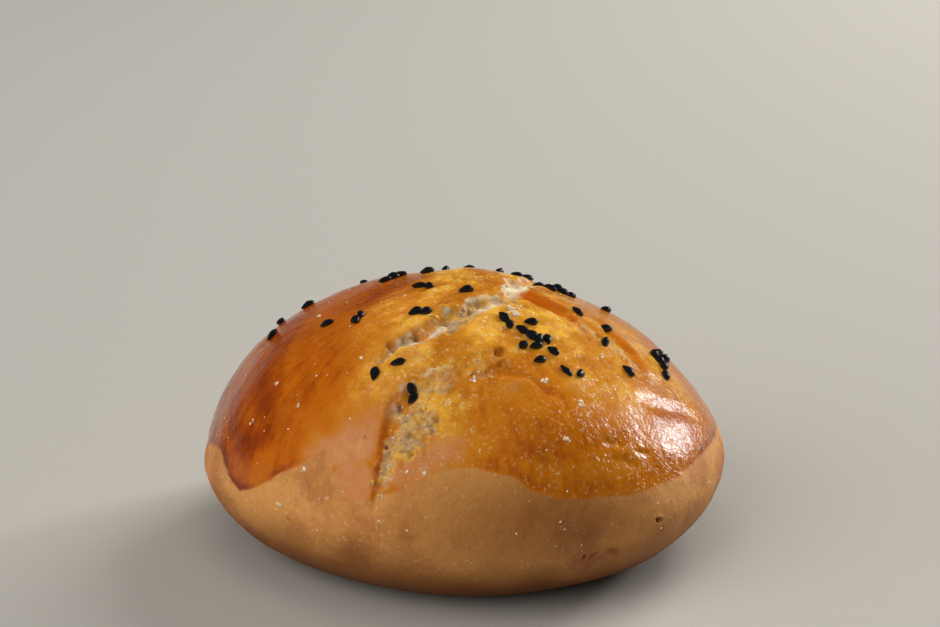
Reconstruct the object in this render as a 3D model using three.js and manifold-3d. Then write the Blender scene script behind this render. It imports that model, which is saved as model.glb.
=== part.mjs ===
// A hand-shaped bread roll: brushed with egg, strewn with nigella seeds, torn open across
// the crown as it rose. Millimetres, +Z up. The origin is the middle of the flat base, +X
// is the roll's right and -Y its front, the side that the long front tear runs down.
//
// The crust is one closed surface. Each of its points has a bearing, counted anticlockwise
// from +X, and a turn, 0 at the crown and half a circle under the base. Everything on the
// crust is placed on its chart: the crust unrolled flat from the crown, where a point's
// distance from the chart's centre is the walk down the crust to it, in millimetres.

import * as THREE from "three";
import { mergeVertices } from "three/addons/utils/BufferGeometryUtils.js";
import Module from "manifold-3d";

const wasm = await Module();
wasm.setup();

// The whole form.
const WIDTH = 105;
const DEPTH = 100;
const HEIGHT = 53.5;
const WIDEST_HEIGHT = 17.2; // height of the widest ring above the base
const BASE_SHARE = 0.61; // radius of the base, as a share of the widest ring
const DOME_POWER = 1.75; // 2 is an ellipse, and less is a more pointed dome
const LEFT_FULLNESS = 0.12; // how much rounder the dome is on the left than on the right
const UNDERSIDE_POWER = 1.8;
const OVALITY = 0.008;
const THREE_SIDEDNESS = 0.014;
const CROWN_LEAN = 1.45; // how far the crown leans to the left
const REST_CORNERS = 4; // the flat spot that the roll rests on
const REST_RADIUS = 22; // from the middle of that spot to its corners
const REST_LIFT = 0.03; // slope at which the base lifts away all round the spot
const CENTRING_X = 0.75; // shifts that put the box of the whole roll over the origin
const CENTRING_Y = 0.07;

// The chart.
const WIDEST_TURN = 0.6 * Math.PI;
const BASE_TURN = 0.86 * Math.PI;
const WALK_TO_WIDEST = 68;

// The crust's mesh: 20 faces, each cut into (CRUST_DETAIL + 1) squared triangles, and all
// of them drawn towards the tears, where the form is finest.
const CRUST_DETAIL = 19;
const CROWDING = 0.55; // 0 leaves the mesh even, and 1 would draw it all to one point
const CROWDING_BEARING = 265; // degrees
const CROWDING_WALK = 22;

// Swellings and hollows of the crust: chart x, chart y, radius, rise.
const SWELLINGS = [
  [14, -44, 15, 1.4], // front right cushion
  [3, 7, 7, 1.2], // knob behind the crown
  [21, -1, 7, 0.6], // back right flap
  [-19, -14, 12, 0.3], // left flap, swollen along its torn edge
  [2, -23, 5, 0.7], // strip between the two tears
  [-52, -5, 12, -1.1], // left flank, drawn in above the widest ring
  [-66, -14, 9, 0.3],
  [36, -62, 6, -0.7], // pinch at the front right of the base
  [30, -72, 5, 0.7],
];

// Tears: the crust opens along a route of chart points, each with its half width and its
// depth. The left side is the one on the left hand of a walk along the route. "wall" is
// the width of the steep wall there. "lip" and "leftRise" are shares of the depth. "shelf"
// is where the floor starts to climb: -1 at the left edge, 1 at the right edge.
const TEARS = [
  {
    name: "crown tear",
    route: [
      [-17, -28.5, 0, 0],
      [-12, -23.5, 1.2, 0.8],
      [-4.5, -19, 1.8, 1.1],
      [2.5, -13.5, 2.0, 1.1],
      [8.5, -8.5, 1.7, 0.8],
      [12, -2.5, 2.1, 0.8],
      [14, 5, 2.0, 0.8],
      [19, 13, 0, 0],
    ],
    wall: 1.2,
    lip: 0.4,
    leftRise: 0.5,
    shelf: 0.2,
  },
  {
    name: "front tear",
    route: [
      [-21.8, -60, 0, 0],
      [-19.2, -53, 0.8, 0.6],
      [-15.8, -48.5, 2.3, 0.9],
      [-12.8, -43.5, 3.6, 1.1],
      [-9.8, -38, 4.3, 1.2],
      [-6.2, -33, 3.6, 1.0],
      [0, -30, 2.4, 0.6],
      [6, -29, 0, 0],
    ],
    wall: 1.6,
    lip: 0.3,
    leftRise: 0.4,
    shelf: -0.9,
  },
  {
    name: "dome edge",
    route: [
      [19, -33.5, 0, 0],
      [15, -31, 0.8, 0.6],
      [12, -28.4, 1.0, 0.8],
      [7, -28.2, 1.2, 0.8],
      [2, -30, 1.2, 0.5],
      [-2, -33, 0, 0],
    ],
    wall: 1.2,
    lip: 0.4,
    leftRise: 0.3,
    shelf: -0.9,
  },
  {
    name: "right crease",
    route: [
      [11, -6, 0, 0],
      [13.4, -5.5, 1.0, 1.3],
      [17, -6.5, 1.4, 1.3],
      [22.5, -8.5, 0.8, 0.5],
      [25, -10, 0, 0],
    ],
    wall: 3.2,
    lip: 0.25,
    leftRise: 0.6,
    shelf: -0.5,
  },
  {
    name: "far crease",
    route: [
      [25.5, 3, 0, 0],
      [29, -3.5, 1.4, 0.8],
      [33.5, -9, 1.5, 0.9],
      [36.5, -15, 0, 0],
    ],
    wall: 2.6,
    lip: 0.15,
    leftRise: 0.4,
    shelf: -0.5,
  },
];
const STEPS_PER_TEAR = 36;
const LIP_REACH = 1.6; // how far a raised lip spreads from its edge
const FLAP_REACH = 11; // how far a raised left side spreads
const CRUMB_CELL = 4.2; // size of the crags of torn crumb
const CRUMB_CRAG = 0.4; // height of the crags, as a share of the tear's depth
const DOUGH_CELL = 19; // size of the gentle unevenness of the whole crust
const DOUGH_SWELL = 0.9;

// Nigella seeds. A pinch is a short row of seeds: chart x, chart y, how many, heading in
// degrees on the chart.
const SEED_LENGTH = 3.1;
const SEED_WIDTH = 1.75;
const SEED_STAND = 0.25; // height of a seed's middle above the crust, as a share of its width
const SEED_STEP = 1.9; // from one seed to the next in a pinch
const SEED_PINCHES = [
  [-36.5, 3.5, 1, 40],
  [-29.5, 12, 1, 25],
  [-24, -9, 1, 15],
  [-18.4, -11.2, 2, 65],
  [-16, -28, 1, 75],
  [-11.8, -26.5, 1, 10],
  [-9.6, -33, 2, 95],
  [-13, 8.5, 3, 50],
  [-7, -2.4, 2, -28],
  [-6.8, 8.7, 1, 15],
  [1, -7.6, 1, 15],
  [-7.6, -14.7, 2, -20],
  [1.2, 15.2, 1, 0],
  [8.6, -15.8, 2, -60],
  [13.4, -14.2, 1, 15],
  [12.3, -17.6, 2, -35],
  [14.1, -19.6, 2, 70],
  [16.1, -17.9, 1, 95],
  [11.2, -21.5, 1, 55],
  [16.9, -20.8, 1, -40],
  [14.2, -24.1, 1, 30],
  [19, -24.8, 1, -45],
  [21.6, -24.5, 1, 60],
  [22.8, -4.3, 1, 0],
  [28.7, -2.1, 1, 30],
  [27.8, -10.1, 1, 80],
  [32.2, -15.5, 1, -35],
  [39.9, -0.5, 3, -60],
  [40.8, 4, 2, 20],
  [41, -6.6, 1, -70],
  [12.4, 10.8, 2, 10],
  [17.1, 7.8, 2, -10],
  [21.2, 10.6, 2, 40],
];
const PLUMB_START = 5; // height above the crust from which each seed is let down
const FAR_SEEDS = 12; // loose seeds on the far slope
const FAR_BEARINGS = [20, 165];
const FAR_WALKS = [17, 44];

const TAU = 2 * Math.PI;

// The same number between 0 and 1 for the same index every time.
function chance(index) {
  const wave = Math.sin(index * 12.9898 + 4.1414) * 43758.5453;
  return wave - Math.floor(wave);
}

function smoothStep(low, high, value) {
  return THREE.MathUtils.smoothstep(value, low, high);
}

// Smooth unevenness between -1 and 1: a random height at each corner of a lattice of
// cells, blended across the cell.
function unevenness(point, cell) {
  const [x, y, z] = [point.x / cell, point.y / cell, point.z / cell];
  const [i, j, k] = [Math.floor(x), Math.floor(y), Math.floor(z)];
  const ease = (t) => t * t * (3 - 2 * t);
  const [u, v, w] = [ease(x - i), ease(y - j), ease(z - k)];
  let sum = 0;
  for (const a of [0, 1]) {
    for (const b of [0, 1]) {
      for (const c of [0, 1]) {
        const share = (a ? u : 1 - u) * (b ? v : 1 - v) * (c ? w : 1 - w);
        sum += share * chance(i + a + 57 * (j + b) + 113 * (k + c));
      }
    }
  }
  return 2 * sum - 1;
}

// The plain form, with no relief: a superellipse dome over the widest ring, a
// superellipse underside below it, and a flat base.
function plainPoint(bearing, turn) {
  const outline =
    1 + OVALITY * Math.cos(2 * bearing) - THREE_SIDEDNESS * Math.cos(3 * bearing);
  let reach;
  let z;
  if (turn <= WIDEST_TURN) {
    const power = 2 / (DOME_POWER - LEFT_FULLNESS * Math.cos(bearing));
    const quarter = (turn / WIDEST_TURN) * (Math.PI / 2);
    reach = Math.sin(quarter) ** power;
    z = WIDEST_HEIGHT + (HEIGHT - WIDEST_HEIGHT) * Math.max(Math.cos(quarter), 0) ** power;
  } else {
    const power = 2 / UNDERSIDE_POWER;
    const share = Math.min((turn - WIDEST_TURN) / (BASE_TURN - WIDEST_TURN), 1);
    const quarter = share * (Math.PI / 2);
    const inward = Math.max((turn - BASE_TURN) / (Math.PI - BASE_TURN), 0);
    reach = (BASE_SHARE + (1 - BASE_SHARE) * Math.max(Math.cos(quarter), 0) ** power) * (1 - inward);
    z = share < 1 ? WIDEST_HEIGHT * (1 - Math.sin(quarter) ** power) : 0;
  }
  const height = z / HEIGHT;
  const lean = (CROWN_LEAN * (height + height * height)) / 2;
  return new THREE.Vector3(
    (WIDTH / 2) * outline * reach * Math.cos(bearing) - lean + CENTRING_X,
    (DEPTH / 2) * outline * reach * Math.sin(bearing) + CENTRING_Y,
    z,
  );
}

// The way out of the crust at a point, as on an ellipsoid of the roll's proportions.
function outward(point) {
  const rise = point.z - WIDEST_HEIGHT;
  const half = rise > 0 ? HEIGHT - WIDEST_HEIGHT : WIDEST_HEIGHT;
  return new THREE.Vector3(
    point.x / (WIDTH / 2) ** 2,
    point.y / (DEPTH / 2) ** 2,
    rise / half ** 2,
  ).normalize();
}

function chartPoint(bearing, turn) {
  const walk = (WALK_TO_WIDEST * turn) / WIDEST_TURN;
  return new THREE.Vector2(walk * Math.cos(bearing), walk * Math.sin(bearing));
}

const tearPaths = TEARS.map(({ route }) => ({
  places: curvePoints(route.map(([x, y, half]) => [x, y, half])),
  depths: curvePoints(route.map((row) => [row[3], 0, 0])),
}));

function curvePoints(rows) {
  const corners = rows.map((row) => new THREE.Vector3(...row));
  return new THREE.CatmullRomCurve3(corners, false, "catmullrom", 0.5).getPoints(STEPS_PER_TEAR);
}

// Where a chart point lies from a tear: how far across it, negative on its left, and the
// tear's half width and depth there.
function acrossTear({ places, depths }, place) {
  let nearest = Infinity;
  let found;
  for (let i = 0; i + 1 < places.length; i++) {
    const [stepX, stepY] = [places[i + 1].x - places[i].x, places[i + 1].y - places[i].y];
    const [fromX, fromY] = [place.x - places[i].x, place.y - places[i].y];
    const along = (fromX * stepX + fromY * stepY) / (stepX * stepX + stepY * stepY);
    const share = THREE.MathUtils.clamp(along, 0, 1);
    const distance = Math.hypot(fromX - share * stepX, fromY - share * stepY);
    if (distance < nearest) {
      nearest = distance;
      found = {
        across: Math.sign(fromX * stepY - fromY * stepX) * distance,
        half: Math.max(THREE.MathUtils.lerp(places[i].z, places[i + 1].z, share), 0),
        depth: Math.max(THREE.MathUtils.lerp(depths[i].x, depths[i + 1].x, share), 0),
      };
    }
  }
  return found;
}

// Relief of one tear: a steep wall down from the left edge, a craggy floor that climbs to
// the right edge, raised lips, and a left side that stands proud.
function tearRelief(tear, path, place, point) {
  const { across, half, depth } = acrossTear(path, place);
  const fromLeft = across + half;
  const fromRight = across - half;
  const wall = smoothStep(-tear.wall / 2, tear.wall / 2, fromLeft);
  const climb = 1 - smoothStep(tear.shelf * half, half, across);
  const inside = wall * climb;
  const lips =
    Math.exp(-((fromLeft / LIP_REACH + 0.5) ** 2)) +
    0.5 * Math.exp(-((fromRight / LIP_REACH - 0.5) ** 2));
  const leftSide = (1 - wall) * Math.exp(fromLeft / FLAP_REACH);
  const crags = CRUMB_CRAG * unevenness(point, CRUMB_CELL) * inside;
  return depth * (tear.lip * lips + tear.leftRise * leftSide - inside + crags);
}

function reliefAt(place, point) {
  let relief = DOUGH_SWELL * unevenness(point, DOUGH_CELL);
  for (const [x, y, radius, rise] of SWELLINGS) {
    const distance = Math.hypot(place.x - x, place.y - y);
    relief += rise * Math.exp(-((distance / radius) ** 2));
  }
  TEARS.forEach((tear, i) => {
    relief += tearRelief(tear, tearPaths[i], place, point);
  });
  return relief;
}

// The finished crust. The relief fades out over the underside, and nothing reaches below
// the base.
function crustPoint(bearing, turn) {
  const point = plainPoint(bearing, turn);
  const fade = 1 - smoothStep(WIDEST_TURN, BASE_TURN, turn);
  const relief = fade * reliefAt(chartPoint(bearing, turn), point);
  point.addScaledVector(outward(point), relief);
  point.z = turn < BASE_TURN ? Math.max(point.z, 0) : 0;
  return point;
}

function solidOf(geometry) {
  const bare = geometry.clone();
  bare.deleteAttribute("normal");
  bare.deleteAttribute("uv");
  const merged = mergeVertices(bare, 1e-4);
  return new wasm.Manifold(
    new wasm.Mesh({
      numProp: 3,
      vertProperties: new Float32Array(merged.getAttribute("position").array),
      triVerts: new Uint32Array(merged.index.array),
    }),
  );
}

function geometryOf(solid) {
  const mesh = solid.getMesh();
  const geometry = new THREE.BufferGeometry();
  geometry.setAttribute("position", new THREE.BufferAttribute(mesh.vertProperties, 3));
  geometry.setIndex(new THREE.BufferAttribute(mesh.triVerts, 1));
  geometry.computeVertexNormals();
  return geometry;
}

// The crust starts as an evenly divided ball, whose points are drawn towards the tears
// and then laid on the roll.
function crustSolid() {
  const ball = new THREE.IcosahedronGeometry(1, CRUST_DETAIL);
  const corners = ball.getAttribute("position");
  const focusTurn = (CROWDING_WALK / WALK_TO_WIDEST) * WIDEST_TURN;
  const focusBearing = THREE.MathUtils.degToRad(CROWDING_BEARING);
  const focus = new THREE.Vector3(
    Math.sin(focusTurn) * Math.cos(focusBearing),
    Math.sin(focusTurn) * Math.sin(focusBearing),
    Math.cos(focusTurn),
  );
  for (let i = 0; i < corners.count; i++) {
    const way = new THREE.Vector3().fromBufferAttribute(corners, i);
    way.addScaledVector(focus, CROWDING).normalize();
    const turn = Math.acos(THREE.MathUtils.clamp(way.z, -1, 1));
    const point = crustPoint(Math.atan2(way.y, way.x), turn);
    corners.setXYZ(i, point.x, point.y, point.z);
  }
  return solidOf(ball);
}

// All the room above the roll's resting place: a flat spot at z = 0, round which the
// base lifts a little.
function roomAboveRest() {
  const reach = WIDTH;
  const profile = [
    [0, 0],
    [REST_RADIUS, 0],
    [reach, (reach - REST_RADIUS) * REST_LIFT],
    [reach, 2 * HEIGHT],
    [0, 2 * HEIGHT],
  ].map(([radius, height]) => new THREE.Vector2(radius, height));
  return solidOf(new THREE.LatheGeometry(profile, REST_CORNERS).rotateX(Math.PI / 2));
}

// One seed along +X: a five-sided drop, blunt at one end and pointed at the other.
function seedGeometry() {
  const profile = [
    [0, -0.5],
    [0.95, -0.24],
    [0.8, 0.22],
    [0, 0.5],
  ].map(([radius, along]) => new THREE.Vector2((radius * SEED_WIDTH) / 2, along * SEED_LENGTH));
  return new THREE.LatheGeometry(profile, 5).rotateZ(-Math.PI / 2);
}

// Every seed's chart place and heading.
function seedPlaces() {
  const places = [];
  for (const [x, y, count, degrees] of SEED_PINCHES) {
    const heading = THREE.MathUtils.degToRad(degrees);
    for (let i = 0; i < count; i++) {
      const offset = (i - (count - 1) / 2) * SEED_STEP;
      const turned = heading + (count > 1 ? 1.6 * (chance(places.length) - 0.5) : 0);
      places.push([
        new THREE.Vector2(x + offset * Math.cos(heading), y + offset * Math.sin(heading)),
        turned,
      ]);
    }
  }
  for (let i = 0; i < FAR_SEEDS; i++) {
    const bearing = THREE.MathUtils.lerp(...FAR_BEARINGS, (i + 0.8 * chance(100 + i)) / FAR_SEEDS);
    const walk = THREE.MathUtils.lerp(...FAR_WALKS, chance(200 + i));
    const radians = THREE.MathUtils.degToRad(bearing);
    places.push([
      new THREE.Vector2(walk * Math.cos(radians), walk * Math.sin(radians)),
      TAU * chance(300 + i),
    ]);
  }
  return places;
}

// A seed laid at a chart place, its length along the heading, where a plumb line to the
// crust meets one of the crust's own faces.
function seedSolid(crust, place, heading) {
  const onForm = (chart) =>
    crustPoint(Math.atan2(chart.y, chart.x), (chart.length() / WALK_TO_WIDEST) * WIDEST_TURN);
  const ahead = new THREE.Vector2(Math.cos(heading), Math.sin(heading)).multiplyScalar(0.5);
  const near = onForm(place);
  const up = outward(near);
  const along = onForm(place.clone().add(ahead)).sub(near);
  along.addScaledVector(up, -along.dot(up)).normalize();
  const side = new THREE.Vector3().crossVectors(up, along);
  const above = near.clone().addScaledVector(up, PLUMB_START);
  const [hit] = new THREE.Raycaster(above, up.clone().negate()).intersectObject(crust);
  const frame = new THREE.Matrix4().makeBasis(along, side, up);
  frame.setPosition(hit.point.addScaledVector(up, SEED_STAND * SEED_WIDTH));
  return solidOf(seedGeometry().applyMatrix4(frame));
}

function breadRoll() {
  let solid = crustSolid().intersect(roomAboveRest());
  const crust = new THREE.Mesh(geometryOf(solid));
  for (const [place, heading] of seedPlaces()) {
    solid = solid.add(seedSolid(crust, place, heading));
  }
  const baked = new THREE.MeshStandardMaterial({ color: 0xc17a2e, roughness: 0.45, metalness: 0 });
  const mesh = new THREE.Mesh(geometryOf(solid), baked);
  mesh.name = "bread_roll";
  return mesh;
}

const roll = new THREE.Group();
roll.add(breadRoll());

export default roll;
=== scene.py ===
"""Dresses the bread roll: its crust, nigella seeds, torn crumb and flour, and the stage.

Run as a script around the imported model. It is laid out as an add-on: sizes and colours
are properties, each piece is made by an operator, and a panel lists them.
"""

import math

import bpy
import numpy as np
from bpy.props import FloatProperty, FloatVectorProperty, IntProperty, PointerProperty
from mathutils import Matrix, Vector


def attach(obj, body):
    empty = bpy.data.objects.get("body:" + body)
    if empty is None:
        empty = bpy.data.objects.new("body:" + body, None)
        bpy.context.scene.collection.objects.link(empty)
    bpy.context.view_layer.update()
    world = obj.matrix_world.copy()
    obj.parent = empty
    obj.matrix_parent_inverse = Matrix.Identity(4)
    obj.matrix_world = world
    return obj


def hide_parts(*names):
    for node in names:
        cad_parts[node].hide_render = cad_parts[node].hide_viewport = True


bl_info = {
    "name": "Bread roll",
    "version": (1, 0, 0),
    "blender": (4, 5, 0),
    "location": "3D View > Sidebar > Bread roll",
    "description": "Makes a nigella-seeded bread roll and its studio stage",
    "category": "Object",
}

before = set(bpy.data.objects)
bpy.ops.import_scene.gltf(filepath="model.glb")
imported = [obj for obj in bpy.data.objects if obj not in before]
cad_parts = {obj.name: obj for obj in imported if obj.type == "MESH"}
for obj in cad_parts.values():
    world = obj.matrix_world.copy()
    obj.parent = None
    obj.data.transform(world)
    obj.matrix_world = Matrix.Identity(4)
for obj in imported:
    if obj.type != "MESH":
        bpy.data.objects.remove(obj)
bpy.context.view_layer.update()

MM = 0.001

# The roll's form, in millimetres and radians, as the solid has it. A point of the crust
# has a bearing, counted from +X, and a turn from the crown, 0, to under the base, pi.
WIDTH = 105.0
DEPTH = 100.0
HEIGHT = 53.5
WIDEST_HEIGHT = 17.2
BASE_SHARE = 0.61
DOME_POWER = 1.75
LEFT_FULLNESS = 0.12
UNDERSIDE_POWER = 1.8
OVALITY = 0.008
THREE_SIDEDNESS = 0.014
CROWN_LEAN = 1.45
CENTRING = (0.75, 0.07)
REST_CORNERS = 4
REST_RADIUS = 22.0
REST_LIFT = 0.03
WIDEST_TURN = 0.6 * math.pi
BASE_TURN = 0.86 * math.pi
WALK_TO_WIDEST = 68.0  # millimetres of crust from the crown down to the widest ring
WALK_TO_BASE = WALK_TO_WIDEST * BASE_TURN / WIDEST_TURN

# Swellings and hollows: chart x, chart y, radius, rise. The chart is the crust unrolled
# flat from the crown, in millimetres.
SWELLINGS = (
    (14, -44, 15, 1.4), (3, 7, 7, 1.2), (21, -1, 7, 0.6), (-19, -14, 12, 0.3), (2, -23, 5, 0.7),
    (-52, -5, 12, -1.1), (-66, -14, 9, 0.3), (36, -62, 6, -0.7), (30, -72, 5, 0.7),
)
DOUGH_CELL = 19.0
DOUGH_SWELL = 0.9

# Tears. Each step of a route is chart x, chart y, half width, depth, how much bare crumb
# shows there and how toasted its left edge is. The left side is on the left hand of a
# walk along the route. The wall is the width of the steep left side, slump what an
# untoasted edge adds to it and rag how far the line strays, in millimetres. Lip and left
# rise are shares of the depth, and the shelf is a share of the half width.
TEARS = {
    "crown": {
        "wall": 2.2, "slump": 0, "rag": 0.85, "lip": 0.4, "left_rise": 0.5, "shelf": -0.3,
        "route": (
            (-17, -28.5, 0, 0, 0.3, 0.4), (-12, -23.5, 1.2, 0.8, 1, 0.15),
            (-4.5, -19, 1.8, 1.1, 1, 0), (2.5, -13.5, 2.0, 1.1, 1, 0),
            (8.5, -8.5, 1.7, 0.8, 0.8, 0), (12, -2.5, 2.1, 0.8, 1, 0),
            (14, 5, 2.0, 0.8, 0.8, 0.2), (19, 13, 0, 0, 0.4, 0),
        ),
    },
    "front": {
        "wall": 0.6, "slump": 4.0, "rag": 0.45, "lip": 0.15, "left_rise": 0.2, "shelf": -0.9,
        "route": (
            (-21.8, -60, 0, 0, 0.1, 0.3), (-19.2, -53, 0.8, 0.5, 0.6, 0.8),
            (-15.8, -48.5, 2.3, 0.7, 0.8, 1), (-12.8, -43.5, 3.6, 0.9, 0.85, 1),
            (-9.8, -38, 4.3, 1.1, 1, 0.5), (-6.2, -33, 3.6, 1.0, 0.7, 0.1),
            (0, -30, 2.4, 0.6, 0.3, 0), (6, -29, 0, 0, 0, 0),
        ),
    },
    "dome edge": {
        "wall": 0.9, "slump": 0.5, "rag": 0.6, "lip": 0.2, "left_rise": 0.3, "shelf": -0.9,
        "route": (
            (19, -33.5, 0, 0, 0, 0), (15, -31, 0.8, 0.5, 0.1, 0.8),
            (12, -28.4, 1.0, 0.7, 0.2, 0.9), (7, -28.2, 1.2, 0.7, 0.3, 0.6),
            (2, -30, 1.2, 0.4, 0.4, 0.3), (-2, -33, 0, 0, 0, 0),
        ),
    },
    "right crease": {
        "wall": 3.2, "slump": 0, "rag": 0.5, "lip": 0.25, "left_rise": 0.6, "shelf": -0.5,
        "route": (
            (11, -6, 0, 0, 0, 0), (13.4, -5.5, 1.0, 1.3, 0, 1), (17, -6.5, 1.4, 1.3, 0, 1),
            (22.5, -8.5, 0.8, 0.5, 0, 0.7), (25, -10, 0, 0, 0, 0),
        ),
    },
    "far crease": {
        "wall": 2.6, "slump": 0, "rag": 0.6, "lip": 0.15, "left_rise": 0.4, "shelf": -0.5,
        "route": (
            (25.5, 3, 0, 0, 0, 0), (29, -3.5, 1.4, 0.8, 0, 0.5),
            (33.5, -9, 1.5, 0.9, 0, 0.6), (36.5, -15, 0, 0, 0, 0),
        ),
    },
}
STEPS_PER_TEAR = 36

# How the torn crumb is broken up: the sizes of its features and their heights, in
# millimetres.
RAG_CELL = 3.2  # wanderings of a tear's line
BREAK_CELL = 3.6  # scraps of crust that still cover the crumb
LUMP_CELL = 4.2
CRAG_CELL = 1.7
GRIT_CELL = 0.8
PIT_CELLS = (1.6, 3.4)
LUMP_SHARE = 0.3  # of the tear's depth
CRAG_HEIGHT = 0.22
GRIT_HEIGHT = 0.16
PIT_DEPTH = 0.5
LIP_REACH = 1.6  # width of a raised lip
FLAP_REACH = 11.0  # how far the proud left side carries on

# A patch in the tables below is an ellipse: chart x, chart y, its two half widths, the way
# the long one points in degrees, and how soft its edge is.

# Rubble, where the crust broke into golden lumps beside a tear: strength and patch.
RUBBLE = (
    (1.0, -1, -28, 11, 2.6, 12, 0.6), (1.0, -11.5, -33.5, 4, 2, 40, 0.7),
    (1.2, -1.5, -15.5, 4, 1.6, 40, 0.6), (1.2, 5.5, -8.5, 3.2, 1.6, 35, 0.6),
    (1.2, -8.4, -43, 4.5, 2.2, 60, 0.7), (1.2, -16.5, -49.5, 5, 2.2, 60, 0.6),
    (1.8, 30.0, -9.8, 7.5, 1.3, -20, 0.6), (1.3, 22.5, -8.5, 4, 1.2, -55, 0.6),
)
RUBBLE_RAG = 0.7

# Pale places in the torn crumb, dry or dusted, and painted light on the crown tear's crumb:
# strength and patch.
PALE_CRUMB = (
    (1.0, 12.2, -1.5, 4.5, 2.4, 70, 0.5), (0.8, -7, -21.2, 6, 1.2, 32, 0.6),
    (0.7, 5, -12.5, 4, 1.4, 40, 0.6),
)

# Holes: chart x, chart y, radius, depth and how dark the painted shade in them is.
HOLES = (
    (-12.7, -22.4, 1.2, 1.0, 0.5), (-8.5, -20.6, 0.9, 0.9, 0.6), (-4.5, -20.6, 0.7, 0.8, 0.5),
    (2.0, -13.7, 1.2, 0.9, 0.4), (6.5, -24.6, 1.0, 0.9, 0.35), (7.3, -23.6, 0.6, 0.6, 0.3),
    (-14.9, -40.9, 0.4, 0.5, 0.8), (-12.0, -35.4, 0.6, 0.5, 0.3), (-10.3, -45.6, 0.4, 0.4, 0.5),
    (-15.4, -43.3, 0.5, 0.4, 0.9), (-19.0, -40.7, 0.45, 0.15, 0.5),
    (44.9, -49.4, 0.9, 0.9, 0.8), (31.5, -66.8, 0.8, 0.7, 0.9),
)

# Creases: depth, half width and chart points. A negative depth is a ridge, and one deeper
# than the limit below has painted shade in it.
CREASES = (
    (0.3, 0.8, ((25.9, -37.7), (28.4, -37.3), (31.3, -36.2))),
    (0.22, 0.6, ((33, -36.6), (35, -36), (37.3, -34.8))),
    (0.25, 1.1, ((27, -40.5), (31, -40.2), (35, -39))),
    (0.55, 0.5, ((32.8, -66.5), (34, -65.9), (35.4, -64.9))),
    (0.35, 0.7, ((37.4, -63.2), (39.6, -62.4), (41.8, -62))),
    (0.3, 0.5, ((43, -60.6), (44.1, -58.5), (44.3, -56.5))),
    (-0.22, 0.45, ((-43, -38), (-38.8, -38.4), (-34, -39.6), (-29.5, -39.8))),
    (-0.18, 0.35, ((-40, -36.6), (-36, -37.4), (-31, -38))),
    (0.25, 0.5, ((16, -31), (18, -33), (19, -36))),
    (0.3, 2.0, ((34, -23), (39, -20.5), (44, -17), (50, -11))),
    (-0.35, 0.7, ((6.8, -11), (10.2, -8.6), (14.2, -8.8), (18.6, -12.2))),
    (0.2, 0.5, ((20, -17), (24, -15.5), (27.5, -16))),
    (-0.2, 0.7, ((26, -6), (30, -9), (33, -13.5))),
)
CREASE_STEPS = 16
DARK_CREASE_DEPTH = 0.3

# Lower edge of the egg wash: bearing in degrees and walk down from the crown.
WASH_EDGE = (
    (0, 59.5), (90, 64), (170, 67), (185, 65.7), (194, 60), (201, 59), (204, 60.4), (209, 64.2),
    (213, 65.2), (219, 61.5), (225, 56.2), (229, 54), (235, 49.1), (238, 51.7), (243.5, 58.1),
    (249, 57.4), (258.5, 53.1), (265, 49.3), (271, 48.9), (281, 50.9), (284, 53.8), (290, 55.7),
    (304, 57.6), (321, 57.7), (340, 57.3),
)

# Brush strokes where the wash went on twice and baked dark: how dark, half width and the
# chart points the brush passed.
DARK_STROKES = (
    (0.13, 2.6, ((-29, 6), (-31.2, -2.7), (-36, -13.2), (-36.7, -22.5), (-39.5, -28.5),
                 (-44.5, -28.5), (-48.8, -23), (-49.5, -14), (-47, -9))),
    (0.30, 1.4, ((-53.8, -20), (-55, -25), (-55.5, -30), (-54, -36), (-50, -38))),
    (0.20, 4.0, ((-46, 14), (-52, 4), (-56, -6), (-58, -14))),
    (0.06, 2.6, ((-33, 6), (-38, -4), (-40, -14), (-38, -22))),
    (0.14, 0.6, ((-43, -38), (-38.8, -38.5), (-34, -39.6), (-29.8, -39.8))),
    (0.16, 2.0, ((40, -42), (48, -34), (54, -22), (58, -8))),
    (0.08, 4.0, ((10, -48), (22, -48), (34, -44), (42, -37))),
    (0.05, 9.0, ((38, -44), (46, -36), (50, -26), (54, -12))),
    (0.10, 7.0, ((5, -42), (14, -38), (26, -36), (34, -34))),
    # this one lies along the crease in the highlight and darkens it
    (0.18, 1.0, ((25.9, -37.7), (31.3, -36.7), (37.3, -35.4))),
    (0.2, 4.0, ((-16, 14), (-10, 6), (-16, -2))),
)

# Where the wash lies thinner: the thickness there and patch.
THIN_PATCHES = (
    (0.40, -17.5, -29, 7, 3.5, 50, 0.9), (0.36, -22, -35.5, 11, 5, 20, 0.9),
    (0.22, -25, -40, 12, 3.5, 12, 0.8), (0.20, -8.5, -47.6, 12, 4.2, 24, 0.95),
    (0.10, -21.5, -41.8, 5, 3.4, -20, 0.6), (0.15, -22.7, -49.2, 5.2, 4.6, 75, 0.15),
    (0.42, -43.5, -35.5, 6, 4, 20, 0.8), (0.56, 36, -38, 16, 8, 30, 0.9),
)

# Where the wash is pale gold, partly baked so and partly painted light on the crown and the
# right top, with a painted sheen on the dome's left shoulder: strength and patch.
PALE_GLAZE = (
    (1.0, 16.5, 1.5, 5, 2.4, -20, 0.7), (0.9, -5, -33.5, 3.5, 5, 20, 0.8),
    (0.9, 23, -15, 13, 8, -40, 0.9), (1.0, -6, -9, 11, 6, 40, 0.9), (1.0, 5, 4, 11, 9, 0, 0.9),
    (0.75, 1, -22.5, 11, 4, 35, 0.9), (1.1, 13, -14, 11, 8, 0, 0.9),
    (0.7, -1.5, -36, 7, 3, 65, 0.9), (0.8, 20, 2, 8, 6, -20, 0.9),
    (0.7, -15, -27, 7, 4, 40, 0.9), (0.9, 38, -3, 11, 6, -50, 0.9),
    (2.0, 5, 2.5, 9, 3.5, 10, 0.9),
)

# Where the bare dough is darker across the front of the belly, partly browned and partly
# painted shade: strength and patch.
BROWNED = ((0.65, 14, -60, 26, 12, 8, 0.9),)

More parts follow.
